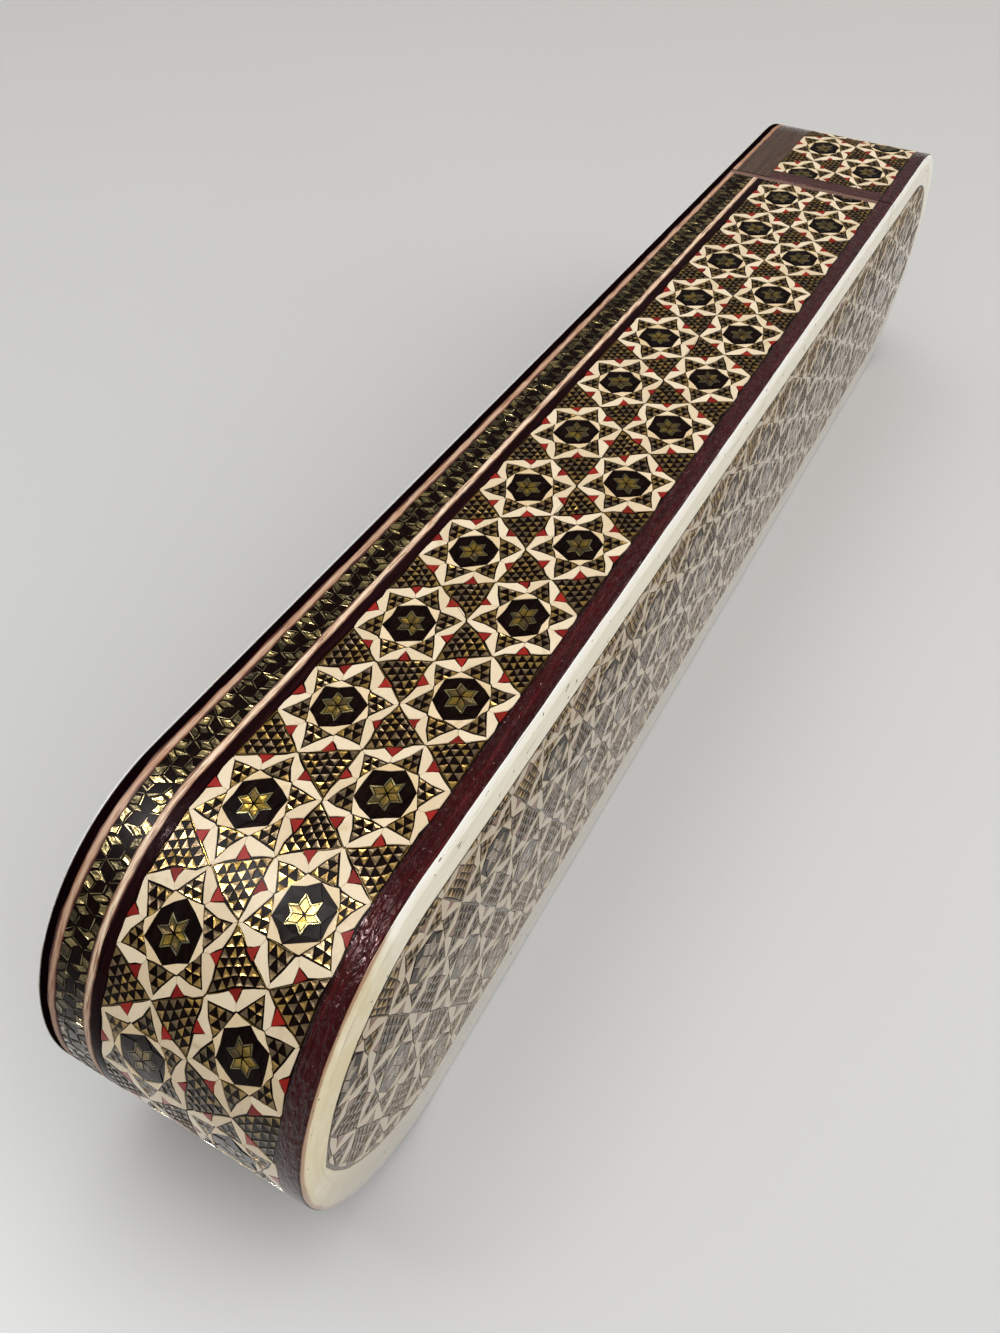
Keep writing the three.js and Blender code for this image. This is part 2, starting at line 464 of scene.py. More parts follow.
def lacquer_finish(name, dark, middle, light, wrinkle, shine, half=9.0):
    """Lacquer brushed along a strip over stained wood: streaks, and dried wrinkles as deep as wrinkle in mm.

    half is half the strip's width in mm, where dark stain has run along its left edge. The default is
    wider than any strip and gives no stain.
    """
    made = Finish(name)
    made.set("Specular IOR Level", shine)
    made.set("Specular Tint", linear(255, 220, 220))
    fine = made.streaks(5200, 190, 5.0, 0.62, 0.4)
    broad = made.streaks(1500, 60, 3.0, 0.5, 0.3)
    patch = made.streaks(400, 120, 2.0, 0.5)
    wrinkles = made.streaks(1900, 720, 3.0, 0.5, 0.8)
    edge = (broad - 0.5) * 0.6 * MM - made.across()
    colour = made.over(
        made.ramp(fine * 0.6 + broad * 0.4, (0.30, dark), (0.52, middle), (0.74, light)),
        (patch.smooth(0.45, 0.8) * 0.35, dark),
        (edge.smooth((half - 0.42) * MM, (half - 0.08) * MM) * 0.8, (18, 3, 5)),
        # painted shade: darker low on the wall
        (made.below(20, 41) * 0.5, dark),
    )
    made.set("Base Color", colour)
    made.set("Roughness", 0.06 + fine * 0.1)
    wrinkles = wrinkles * 0.6 + wrinkles.smooth(0.42, 0.6) * 0.4
    made.bump(fine * 0.12 + wrinkles * (1 - made.below(24, 36) * 0.8), wrinkle * MM)
    return made.material


def pink_wood_finish():
    """Pale pink wood lines: long grain with dark pores, stained brown along both edges."""
    made = Finish("pink_wood_line", coat=0.04, coat_roughness=0.2)
    made.set("Specular IOR Level", 0.2)
    fine = made.streaks(4700, 240, 5.0, 0.65, 0.5)
    pores = made.streaks(7000, 420, 2.0, 0.5)
    slow = made.streaks(300, 330, 2.0)
    on_head = made.part(made.place(), "Y") > HEAD_LOW.y
    outer = 1 - made.part(made.place(), "X").smooth(-12.2 * MM, -11.2 * MM)
    stain = abs(made.across()) + (fine - 0.5) * 0.3 * MM + (slow - 0.5) * 0.45 * MM
    stops = ((0.36, (112, 70, 52)), (0.44, (202, 160, 128)), (0.51, (238, 208, 176)), (0.64, (246, 228, 202)))
    colour = made.over(
        made.ramp(fine, *stops),
        (pores.smooth(0.58, 0.7) * 0.7, (120, 76, 52)),
        (on_head * 0.5, (128, 92, 76)),
        (outer * 0.55, (158, 108, 80)),
        # painted shade: darker towards (128, 94, 80) low on the wall
        (made.below(22, 40) * 0.6, (128, 94, 80)),
        (stain.smooth(0.2 * MM, 0.34 * MM) * 0.75, (104, 52, 28)),
        (stain.smooth(0.34 * MM, 0.46 * MM) * 0.95, (44, 14, 14)),
    )
    made.set("Base Color", colour)
    made.set("Roughness", 0.42 + fine * 0.15)
    made.bump(fine - pores * 0.4, 0.02 * MM, 0.6)
    return made.material


def edging_finish():
    """The plates' bone edging: cream, rust and ochre along its outer rim, with dark cracks and nicks, a
    near-white rim that is partly polish and partly painted highlight, and painted shade and glare low down.
    """
    made = Finish("bone_edging", coat=0.8, coat_roughness=0.12)
    streaks = made.streaks(900, 160, 4.0, 0.6)
    cracks = made.streaks(2600, 90, 2.0, 0.5, 0.8)
    mottle = made.spots(210.0, 4.0, 0.6)
    nicks = made.spots(1250.0, 2.0, 0.4)
    from_rim = made.across()
    on_right = made.part(made.place(), "X") > 0
    past_turn = NEAR_CENTRE - 1.5 * MM - made.part(made.place(), "Y")
    turned = past_turn.smooth(0.0, 8 * MM) * on_right
    rim = 1 - from_rim.smooth(0.1 * MM, 1.2 * MM)
    corner = 1 - from_rim.smooth(0.3 * MM, 0.95 * MM)
    # the rim's near-white is partly its polish and partly a painted highlight
    highlight_and_polish = (1 - from_rim.smooth(0.35 * MM, 1.1 * MM)) * (1 - turned)
    ochre = (mottle * 0.6 + turned * 0.34 + rim * 0.12).smooth(0.4, 0.7)
    rust = (mottle * 0.5 + turned * 0.2 + corner * 0.3).smooth(0.56, 0.76)
    inner = (from_rim + (streaks - 0.5) * 0.5 * MM).smooth(1.5 * MM, 2.0 * MM)
    colour = made.over(
        (255, 250, 234),
        (streaks.smooth(0.3, 0.75), (242, 234, 212)),
        (inner * 0.6, (222, 211, 180)),
        (highlight_and_polish * 0.7, (255, 254, 248)),
        (ochre * (1 - highlight_and_polish * 0.8) * 0.75, (208, 188, 128)),
        (rust * 0.85, (150, 94, 44)),
        # painted shade and glare: greyer towards (178, 172, 165) low on the plates
        (made.below(5, 28) * 0.8, (178, 172, 165)),
        (nicks.smooth(0.72, 0.755), (92, 62, 38)),
        (cracks.smooth(0.66, 0.7) * 0.5, (120, 92, 62)),
    )
    made.set("Base Color", colour)
    made.set("Roughness", 0.34 + streaks * 0.2)
    made.bump(streaks * 0.5 + mottle - nicks.smooth(0.7, 0.76), 0.05 * MM, 0.5)
    return made.material


def wood_finish(name, pale, middle, dark, coat):
    """Straight-grained wood, its grain along Y."""
    made = Finish(name, coat, 0.25)
    rings = made.grain((420, 16, 420), 4.0, 0.55, 0.6)
    fibres = made.grain((3600, 70, 3600), 3.0, 0.6)
    pores = made.grain((2500, 240, 2500), 1.0, 0.5)
    colour = made.ramp(rings * 0.7 + fibres * 0.3, (0.3, dark), (0.5, middle), (0.68, pale))
    made.set("Base Color", made.over(colour, (pores.smooth(0.64, 0.72) * 0.55, dark)))
    made.set("Roughness", 0.5 + fibres * 0.2)
    made.bump(fibres - pores.smooth(0.62, 0.72), 0.04 * MM, 0.6)
    return made.material


BONE = bone_tile_finish("bone_tiles", (237, 219, 188), (219, 196, 160), (190, 160, 116))
SLIVER = bone_tile_finish("bone_slivers", (238, 216, 180), (222, 194, 148), (190, 152, 100))
RED = red_tile_finish()
BRASS = brass_tile_finish("brass_tiles", (229, 186, 104), (132, 113, 88))
OLIVE_BRASS = brass_tile_finish("olive_brass_tiles", (206, 170, 76), (114, 96, 66), plate_glare_share=0.9)
LEAF_BRASS = brass_tile_finish("flower_leaf_brass", (200, 178, 120), (76, 68, 50), 0.95)
LEAF_RIM_BRASS = brass_tile_finish("flower_rim_brass", (206, 188, 138), (102, 91, 70), 0.95)
PALE_BRASS = brass_tile_finish("pale_brass_rims", (192, 176, 116), (112, 106, 84), 0.9, 0.9)
GROUND = ground_finish()
MAROON = lacquer_finish("maroon_lacquer", (26, 2, 4), (58, 6, 9), (106, 34, 37), 0.24, 0.32, 1.05)
PLUM = lacquer_finish("plum_lacquer", (16, 5, 7), (29, 11, 13), (52, 25, 28), 0.03, 0.02)
BROWN = lacquer_finish("brown_lacquer", (52, 36, 28), (78, 58, 46), (104, 82, 66), 0.08, 0.25)
SEAM = lacquer_finish("seam_lacquer", (44, 20, 20), (72, 38, 36), (100, 64, 58), 0.08, 0.25)
DARK = lacquer_finish("dark_lacquer", (7, 2, 3), (13, 4, 6), (30, 8, 11), 0.03, 0.0)
MOUTH_PINK = lacquer_finish("mouth_line_wood", (84, 58, 50), (124, 92, 80), (156, 122, 106), 0.08, 0.25)
PINK = pink_wood_finish()
EDGING = edging_finish()
CORE_WOOD = wood_finish("core_wood", (196, 158, 112), (168, 124, 80), (120, 80, 46), 0.0)
TRAY_WOOD = wood_finish("tray_wood", (210, 168, 116), (184, 136, 88), (136, 92, 54), 0.4)


# Meshes


def put(name, data):
    """A new object in the scene, holding a mesh, a lamp or a camera."""
    piece = bpy.data.objects.new(name, data)
    bpy.context.scene.collection.objects.link(piece)
    return piece


def mesh_of(name, made):
    """The mesh of a finished bmesh, which is let go."""
    mesh = bpy.data.meshes.new(name)
    made.to_mesh(mesh)
    made.free()
    return mesh


def side_faces(made, low, high):
    """The faces between two rings of equally many corners."""
    for j in range(len(low)):
        k = (j + 1) % len(low)
        made.faces.new((low[j], low[k], high[k], high[j]))


def block(made, foot, top, low, high, pit=0.0):
    """A closed block between two flat outlines at the heights low and high, its top dished by pit."""
    foot_ring = [made.verts.new((x, y, low)) for x, y in foot]
    top_ring = [made.verts.new((x, y, high)) for x, y in top]
    made.faces.new(list(reversed(foot_ring)))
    if pit:
        middle = sum(top, Vector((0, 0))) / len(top)
        centre = made.verts.new((middle.x, middle.y, high - pit))
        for j, corner in enumerate(top_ring):
            made.faces.new((corner, top_ring[(j + 1) % len(top)], centre))
    else:
        made.faces.new(top_ring)
    side_faces(made, foot_ring, top_ring)


def loft(name, rings, material, marks=None):
    """A closed body through rings of equally many points. marks holds (across, along) for each point."""
    made = bmesh.new()
    grid = [[made.verts.new(point) for point in ring] for ring in rings]
    map_layer = made.loops.layers.uv.new(STRIP_MAP)
    for row, following in zip(grid, grid[1:]):
        side_faces(made, row, following)
    made.faces.new(list(reversed(grid[0])))
    made.faces.new(grid[-1])
    if marks:
        number = {vert: (i, j) for i, row in enumerate(grid) for j, vert in enumerate(row)}
        for face in made.faces:
            for corner in face.loops:
                i, j = number[corner.vert]
                corner[map_layer].uv = marks[i][j]
    bmesh.ops.recalc_face_normals(made, faces=made.faces)
    mesh = mesh_of(name, made)
    mesh.materials.append(material)
    for face in mesh.polygons:
        face.use_smooth = True
    mesh.set_sharp_from_angle(angle=math.radians(SHARP_TURN))
    return put(name, mesh)


def finish_piece(piece, body, slot, *nodes):
    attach(piece, body)
    if nodes:
        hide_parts(*nodes)


# The way round a wall


class Wall:
    """The way along a body's wall: out along the top, round one end and back along the bottom."""

    def __init__(self, start_y, centre_y):
        self.start = start_y
        self.centre = centre_y
        self.side = 1 if centre_y > start_y else -1
        self.flat = abs(centre_y - start_y)
        self.turn = math.pi * OUTER_RADIUS
        self.length = 2 * self.flat + self.turn

    def place(self, x, along, height=0.0):
        past = along - self.flat
        angle = min(max(past / OUTER_RADIUS, 0), math.pi)
        reach = OUTER_RADIUS + height
        straight = min(past, 0) - max(past - self.turn, 0)
        y = self.centre + self.side * (straight + reach * math.sin(angle))
        return Vector((x, y, MIDDLE_Z + reach * math.cos(angle)))

    def stations(self):
        flats = max(2, round(self.flat / FLAT_STEP))
        arcs = round(self.turn / ARC_STEP)
        places = [self.flat * i / flats for i in range(flats)]
        places += [self.flat + self.turn * i / arcs for i in range(arcs)]
        return places + [self.flat + self.turn + self.flat * i / flats for i in range(flats + 1)]


def wall_of(body, part):
    """The way along a body's wall, from where its part stops at the joint between the bodies."""
    low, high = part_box(f"{NODE_PREFIX[body]}_{part}")
    return Wall(high.y, NEAR_CENTRE) if body == "sleeve" else Wall(low.y, FAR_CENTRE)


# Strips round the walls

# For each strip: its finish, its slot and how far its top is sunk; then in mm how round its left and right
# edges are, and how far each of them laps past the strip's foot, under the lip of a plate's edging
STRIPS = {
    "dark_line": (DARK, "black_wood", PLAIN_DROP, 0.14, 0.05, 0.36, 0.0),
    "outer_pink_line": (PINK, "pink_wood", 0.0, 0.1, 0.1, 0.0, 0.0),
    "flower_band": (GROUND, "flower_inlay", GROUND_DEPTH, 0.01, 0.01, 0.0, 0.0),
    "inner_pink_line": (PINK, "pink_wood", 0.0, 0.1, 0.1, 0.0, 0.0),
    "plum_band": (PLUM, "plum_lacquer", PLAIN_DROP, 0.05, 0.05, 0.0, 0.0),
    "star_band": (GROUND, "star_inlay", GROUND_DEPTH, 0.01, 0.01, 0.0, 0.0),
    "maroon_band": (MAROON, "maroon_lacquer", PLAIN_DROP, 0.05, 0.26, 0.0, 0.3),
    "pink_line": (PINK, "pink_wood", 0.0, 0.1, 0.1, 0.0, 0.0),
    "brown_band": (BROWN, "plum_lacquer", PLAIN_DROP, 0.05, 0.05, 0.0, 0.0),
}


def wander(along, phase):
    """A hand-cut edge's slow wander, between about -1 and 1."""
    waves = ((310, 0.45), (730, 0.3), (1490, 0.25))
    return sum(share * math.sin(along * rate + phase * (3.1 + rate / 500)) for rate, share in waves)


def bend(x, along):
    """How far the hand-laid lines beside the flower band stray from straight."""
    if not BENT_FROM < x < BENT_TO:
        return 0.0
    together = 0.15 * wander(along, 1.0)
    apart = 0.08 * wander(along * 1.7, x * 5000)
    return (together + apart) * MM


def quarter(radius):
    """The inner points of a rounded edge, as (in from the side, down from the top)."""
    turns = [math.radians(turn) for turn in (15, 30, 45, 60, 75)]
    return [(radius * (1 - math.cos(turn)), radius * (1 - math.sin(turn))) for turn in turns]


def strip_side(foot, edge, inward, drop, rounding):
    """One side of a strip's section, up from its foot and round its top edge. inward is 1 or -1 along X."""
    points = [(foot, -SHEET)]
    if edge != foot:
        points += [(foot, -LAP_DEPTH), (edge, -LAP_DEPTH)]
    points.append((edge, -drop - rounding))
    points += [(edge + inward * across, -drop - down) for across, down in quarter(rounding)]
    return points + [(edge + inward * rounding, -drop)]


def strip(name, wall, low_x, high_x, material, drop, round_low, round_high, lap_low, lap_high):
    """A strip of inlay swept along a wall, its top edges rounded."""
    middle = (low_x + high_x) / 2
    rings = []
    marks = []
    for along in wall.stations():
        low_foot = low_x + bend(low_x, along)
        high_foot = high_x + bend(high_x, along)
        low, high = low_foot - lap_low, high_foot + lap_high
        section = strip_side(low_foot, low, 1, drop, round_low)
        section.append(((low + high) / 2, -drop))
        section += reversed(strip_side(high_foot, high, -1, drop, round_high))
        rings.append([wall.place(x, along, height) for x, height in section])
        marks.append([(x - middle, along) for x, height in section])
    return loft(name, rings, material, marks)


def wall_strips():
    """Every strip round the two walls, from the frame's own boxes."""
    for body, prefix in NODE_PREFIX.items():
        for part, (material, slot, drop, *edges) in STRIPS.items():
            node = f"{prefix}_{part}"
            if node in frame["nodes"]:
                low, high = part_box(node)
                edges_in_metres = [size * MM for size in edges]
                wall = wall_of(body, part)
                piece = strip(node + "_dressed", wall, low.x, high.x, material, drop, *edges_in_metres)
                finish_piece(piece, body, slot, node)


# Tile stencils

# Places in a star's cell, as shares of its pitch: how far out from its middle, or (out, aside)
CELL_CORNER = 0.5
BONE_END = 0.493
BONE_FORK = 0.461
BONE_WAIST = (0.2555, 0.1255)
BONE_TIP = 0.288
RED_APEX = 0.336
BRASS_APEX = 0.447
BRASS_BASE = (0.247, 0.117)
WIRE_INSIDE = (0.24, 0.1)
WIRE_OUTSIDE = (0.2445, 0.106)
SLIVER_TIP = 0.2795
SLIVER_END = 0.2305
EBONY_TIP = 0.225
RIM_WIDTH = 0.015
HEART_REACH = 0.15
PANEL_HEART_REACH = 0.175

# The least width of a star's heart where its cell is squeezed, as a share of its full width
HEART_SQUEEZE = 0.945

# A black tile's start between two leaves, as a share of their reach, and how far back from it its sides are
EBONY_START = 1 / 1.7
EBONY_BACK = 0.005

# A leaf's heart: the share of its length left free at the flower's middle, and in rim widths, how far
# it stays back from the leaf's tip and shoulders
HEART_GAP = 0.04
BACK_FROM_TIP = 2
BACK_FROM_SHOULDER = 1.15

# Shares of the way along a cell's side, and how far a bone tile's foot is drawn in from it
BONE_BLUNT = 0.024
BONE_FOOT = 0.37
RED_FOOT = 0.385
FOOT_DRAWN_IN = 0.975

# How many rows of small triangles fill a star's brass triangle and the gap between three stars
POINT_ROWS = 3
GAP_ROWS = 6

# How far in from the gap's outline its wire starts and ends, and its brass starts
GAP_WIRE_START = 0.02 * MM
GAP_WIRE_END = 0.09 * MM
GAP_BRASS_START = 0.12 * MM


def wind(outline):
    """The outline with its corners in the anticlockwise order."""
    area = sum(a[0] * b[1] - a[1] * b[0] for a, b in zip(outline, outline[1:] + outline[:1]))
    return outline if area > 0 else list(reversed(outline))


def inset(outline, distance):
    """The outline of a convex tile, wound anticlockwise, moved inward."""
    count = len(outline)
    moved = []
    for i in range(count):
        before, here, after = (Vector(outline[(i + k) % count]) for k in (-1, 0, 1))
        first = (here - before).normalized()
        second = (after - here).normalized()
        first_in = Vector((-first.y, first.x))
        second_in = Vector((-second.y, second.x))
        bisector = first_in + second_in
        moved.append(here + bisector * (distance / max(0.2, bisector.dot(first_in))))
    return moved


def cut_tiles(name, outlines, gap, slope, pit):
    """Closed tiles over flat outlines: low blocks, each top smaller than its foot and dished by pit."""
    made = bmesh.new()
    for outline in map(wind, outlines):
        block(made, inset(outline, gap), inset(outline, gap + slope), -TILE_DEPTH, 0.0, pit)
    return put(name, mesh_of(name, made))


def mosaic(apex, left, right, rows):
    """The small triangles that point the same way as the large one they fill."""
    apex, left, right = Vector(apex), Vector(left), Vector(right)
    found = []
    for i in range(rows):
        for j in range(i + 1):
            top = apex + (left - apex) * (i / rows) + (right - left) * (j / rows)
            below_left = top + (left - apex) / rows
            below_right = top + (right - apex) / rows
            found.append([tuple(top), tuple(below_left), tuple(below_right)])
    return found


def petal(at, turn, reach, rim):
    """A flower's leaf, a lozenge of 60 degrees: its heart, and the two rims along its outer sides."""
    shoulder = reach / math.sqrt(3)
    tip, inner_tip = at(reach, turn), at(reach - BACK_FROM_TIP * rim, turn)
    heart = [at(HEART_GAP * reach, turn)]
    rims = []
    for side in (-30, 30):
        corner = at(shoulder, turn + side)
        inner_corner = at(shoulder - BACK_FROM_SHOULDER * rim, turn + side)
        rims.append([corner, tip, inner_tip, inner_corner])
        heart.append(inner_corner)
    heart.insert(2, inner_tip)
    return heart, rims


def star_outlines(pitch, half, heart_reach):
    """The tiles of one six-sided star cell, whose corners lie up and down the length, by their kinds.

    half is half the cell's width, to which the regular cell is squeezed.
    """
    squeeze = half / (CELL_CORNER * math.cos(math.radians(30)) * pitch)
    widen_heart = max(1.0, HEART_SQUEEZE / squeeze)

    def spot(turn, out, aside):
        angle = math.radians(turn)
        x = out * math.sin(angle) + aside * math.cos(angle)
        y = out * math.cos(angle) - aside * math.sin(angle)
        return (pitch * squeeze * x, pitch * y)

    def at(radius, turn):
        return spot(turn, radius, 0)

    def core(radius, turn):
        x, y = at(radius, turn)
        return (x * widen_heart, y)

    tiles = {kind: [] for kind in ("bone", "sliver", "red", "brass", "heart", "rim", "ebony", "wire")}
    for corner in range(0, 360, 60):
        middle, following = corner + 30, corner + 60
        start = Vector(at(CELL_CORNER, corner))
        side = Vector(at(CELL_CORNER, following)) - start
        tip, apex = at(BONE_TIP, middle), at(RED_APEX, middle)
        for near, way in ((corner, 1), (following, -1)):
            from_near = side * way
            near_corner = Vector(at(CELL_CORNER, near))
            blunt = near_corner + from_near * BONE_BLUNT
            foot = near_corner + from_near * BONE_FOOT
            waist = spot(near, BONE_WAIST[0], BONE_WAIST[1] * way)
            outline = [at(BONE_END, near), tuple(blunt), tuple(foot * FOOT_DRAWN_IN), apex, tip]
            tiles["bone"].append(outline + [waist, at(BONE_FORK, near)])
        tiles["red"].append([tuple(start + side * share) for share in (RED_FOOT, 1 - RED_FOOT)] + [apex])
        ends = core(SLIVER_END, corner), core(SLIVER_END, following)
        tiles["sliver"].append([ends[0], at(SLIVER_TIP, middle), ends[1]])
        reach = heart_reach - EBONY_BACK
        ebony = [core(heart_reach * EBONY_START, corner), core(reach, middle), core(EBONY_TIP, corner)]
        tiles["ebony"].append(ebony + [core(reach, corner - 30)])
        wire = [spot(corner, WIRE_INSIDE[0], way * WIRE_INSIDE[1]) for way in (-1, 1)]
        wire += [spot(corner, WIRE_OUTSIDE[0], way * WIRE_OUTSIDE[1]) for way in (1, -1)]
        tiles["wire"].append(wire)
        base = [spot(corner, BRASS_BASE[0], way * BRASS_BASE[1]) for way in (-1, 1)]
        tiles["brass"] += mosaic(at(BRASS_APEX, corner), *base, POINT_ROWS)
        heart, rims = petal(core, middle, heart_reach, RIM_WIDTH)
        tiles["heart"].append(heart)
        tiles["rim"] += rims
    for way in (-1, 1):
        gap = wind([(0, 0.5 * pitch), (way * half, 0.75 * pitch), (way * half, 0.25 * pitch)])
        outer, inner = inset(gap, GAP_WIRE_START), inset(gap, GAP_WIRE_END)
        tiles["wire"] += [[outer[j], outer[(j + 1) % 3], inner[(j + 1) % 3], inner[j]] for j in range(3)]
        tiles["brass"] += mosaic(*inset(gap, GAP_BRASS_START), GAP_ROWS)
    return tiles


def flower_outlines(pitch, reach_x):
    """The flower band's leaves: flowers by turns at its two edges, their leaf tips meeting in threes."""
    reach = pitch / math.sqrt(3)
    tiles = {"leaf": [], "leaf_rim": []}
    for centre_x, centre_y in ((FLOWER_ASIDE * reach_x, 0), (-FLOWER_ASIDE * reach_x, pitch / 2)):

        def at(radius, turn):
            angle = math.radians(turn)
            across = radius * math.sin(angle) * reach_x / reach
            return (centre_x + across, centre_y + radius * math.cos(angle))

        for k in range(6):
            heart, rims = petal(at, 30 + 60 * k, reach, LEAF_RIM)
            tiles["leaf"].append(heart)
            tiles["leaf_rim"] += rims[k % 2:]
    return tiles


# The marquetry's growth

MARQUETRY_INPUTS = {
    "Object": ("tiles", "outline"),
    "Material": ("finish",),
    "Int": ("columns", "rows", "divisions", "seed"),
    "Float": (
        "first_column", "column_step", "first_row", "row_step", "column_lift", "tilt", "wall_start",
        "turn_centre", "turn_side", "turn_radius", "turn_height", "fold", "map_low", "map_scale",
        "wobble", "wobble_scale",
    ),
}


def marquetry_tree():
    """Tiles stood on a lattice, cut by an outline, tilted a little one by one and bent round the wall."""
    group = bpy.data.node_groups.new("marquetry", "GeometryNodeTree")
    group.interface.new_socket("Geometry", in_out="INPUT", socket_type="NodeSocketGeometry")
    group.interface.new_socket("Geometry", in_out="OUTPUT", socket_type="NodeSocketGeometry")
    names = {}
    for kind, labels in MARQUETRY_INPUTS.items():
        for label in labels:
            socket = group.interface.new_socket(label, in_out="INPUT", socket_type="NodeSocket" + kind)
            names[label] = socket.identifier
    tree = Tree(group)
    given = tree.node("NodeGroupInput")

    # Points in columns and rows
    index = tree.node("GeometryNodeInputIndex")[0]
    column = (index / given["rows"]).floor()
    row = index - column * given["rows"]
    x = given["first_column"] + column * given["column_step"]
    y = given["first_row"] + (row + (column % 2.0) * given["column_lift"]) * given["row_step"]
    sockets = {"Count": given["columns"] * given["rows"], "Position": tree.point(x, y)}
    points = tree.node("GeometryNodePoints", None, sockets)[0]

    # The stencil's tiles on every point
    stencil = tree.node("GeometryNodeObjectInfo", None, {"Object": given["tiles"]})["Geometry"]
    divided = tree.node("GeometryNodeSubdivideMesh", None, {"Mesh": stencil, "Level": given["divisions"]})[0]
    stood = tree.node("GeometryNodeInstanceOnPoints", None, {"Points": points, "Instance": divided})[0]
    loose = tree.node("GeometryNodeRealizeInstances", None, {"Geometry": stood})[0]

    # Their edges pushed aside a little, as if cut by hand, and all of them cut by the outline
    sockets = {"Scale": given["wobble_scale"], "Detail": 2.5}
    field = tree.node("ShaderNodeTexNoise", {"noise_dimensions": "2D"}, sockets)["Color"]
    centred = tree.vector("SUBTRACT", {0: field, 1: (0.5, 0.5, 0.5)})
    push = tree.vector("SCALE", {"Vector": centred, "Scale": given["wobble"]})
    push = tree.vector("MULTIPLY", {0: push, 1: (1, 1, 0)})
    cut_by_hand = tree.node("GeometryNodeSetPosition", None, {"Geometry": loose, "Offset": push})[0]
    outline = tree.node("GeometryNodeObjectInfo", None, {"Object": given["outline"]})["Geometry"]
    settings = {"operation": "INTERSECT", "solver": "MANIFOLD"}
    cut = tree.node("GeometryNodeMeshBoolean", settings, {0: [cut_by_hand, outline]})[0]

    # A tone for each tile
    island = tree.node("GeometryNodeInputMeshIsland")["Island Index"]
    plain_number = {"data_type": "FLOAT"}
    face_number = plain_number | {"domain": "FACE"}
    tone = tree.node("FunctionNodeRandomValue", plain_number, {"ID": island, "Seed": given["seed"]})[0]
    sockets = {"Geometry": cut, "Name": TILE_TONE, "Value": tone}
    toned = tree.node("GeometryNodeStoreNamedAttribute", face_number, sockets)[0]

    # The map for the bake, the long way folded into bands side by side
    place = tree.node("GeometryNodeInputPosition")[0]
    across, along, height = (tree.part(place, axis) for axis in "XYZ")
    band = (along / given["fold"]).floor()
    band = tree.node("GeometryNodeFieldOnDomain", face_number, {"Value": band})[0].floor()
    map_x = (along - band * given["fold"]) * given["map_scale"] + MAP_MARGIN
    map_y = (across - given["map_low"] + band * MAP_BAND) * given["map_scale"] + MAP_MARGIN
    settings = {"data_type": "FLOAT2", "domain": "CORNER"}
    sockets = {"Geometry": toned, "Name": "OFBake", "Value": tree.point(map_x, map_y)}
    mapped = tree.node("GeometryNodeStoreNamedAttribute", settings, sockets)[0]

    # The top corners of each tile sunk by a random share of the tilt, and all of it bent round the wall
    sockets = {"Min": -1.0, "Max": 0.0, "Seed": given["seed"] + 7}
    tilt = tree.node("FunctionNodeRandomValue", plain_number, sockets)[0]
    lifted = height + tilt * given["tilt"] * (height > -TILE_DEPTH / 2)
    past = along - (given["turn_centre"] - given["wall_start"]) * given["turn_side"]
    angle = (past / given["turn_radius"].most(1e-6)).most(0.0).least(math.pi)
    reach = given["turn_radius"] + lifted
    straight = past.least(0.0) - (past - given["turn_radius"] * math.pi).most(0.0)
    new_y = given["turn_centre"] + given["turn_side"] * (straight + reach * angle.sine())
    new_z = given["turn_height"] + reach * angle.cosine()
    sockets = {"Geometry": mapped, "Position": tree.point(across, new_y, new_z)}
    shaped = tree.node("GeometryNodeSetPosition", None, sockets)[0]
    whole = tree.node("GeometryNodeRealizeInstances", None, {"Geometry": shaped})[0]
    finished = tree.node("GeometryNodeSetMaterial", None, {"Geometry": whole, "Material": given["finish"]})[0]
    tree.node("NodeGroupOutput", None, {"Geometry": finished})
    return group, names


MARQUETRY, INPUT_NAMES = marquetry_tree()


def grow(name, **inputs):
    """The tree's result as a plain mesh."""
    holder = put(name, bpy.data.meshes.new(name))
    modifier = holder.modifiers.new("marquetry", "NODES")
    modifier.node_group = MARQUETRY
    for label, value in inputs.items():
        modifier[INPUT_NAMES[label]] = value
    evaluated = holder.evaluated_get(bpy.context.evaluated_depsgraph_get())
    mesh = bpy.data.meshes.new_from_object(evaluated)
    holder.modifiers.remove(modifier)
    bpy.data.objects.remove(holder)
    return mesh


def prism(name, outline):
    """A closed block over a flat outline, thick enough to cut every tile."""
    made = bmesh.new()
    block(made, outline, outline, -2 * TILE_DEPTH, TILE_DEPTH)
    bmesh.ops.recalc_face_normals(made, faces=made.faces)
    return put(name, mesh_of(name, made))


def join_meshes(name, meshes, turn=None):
    """One mesh of several, each with its own material."""
    materials = []
    made = bmesh.new()
    for mesh in meshes:
        if turn:
            mesh.transform(turn)
        for material in mesh.materials:
            if material not in materials:
                materials.append(material)
        slot = materials.index(mesh.materials[0])
        for face in mesh.polygons:
            face.material_index = slot
        made.from_mesh(mesh)
    whole = mesh_of(name, made)
    for material in materials:
        whole.materials.append(material)
    for face in whole.polygons:
        face.use_smooth = False
    return put(name, whole)


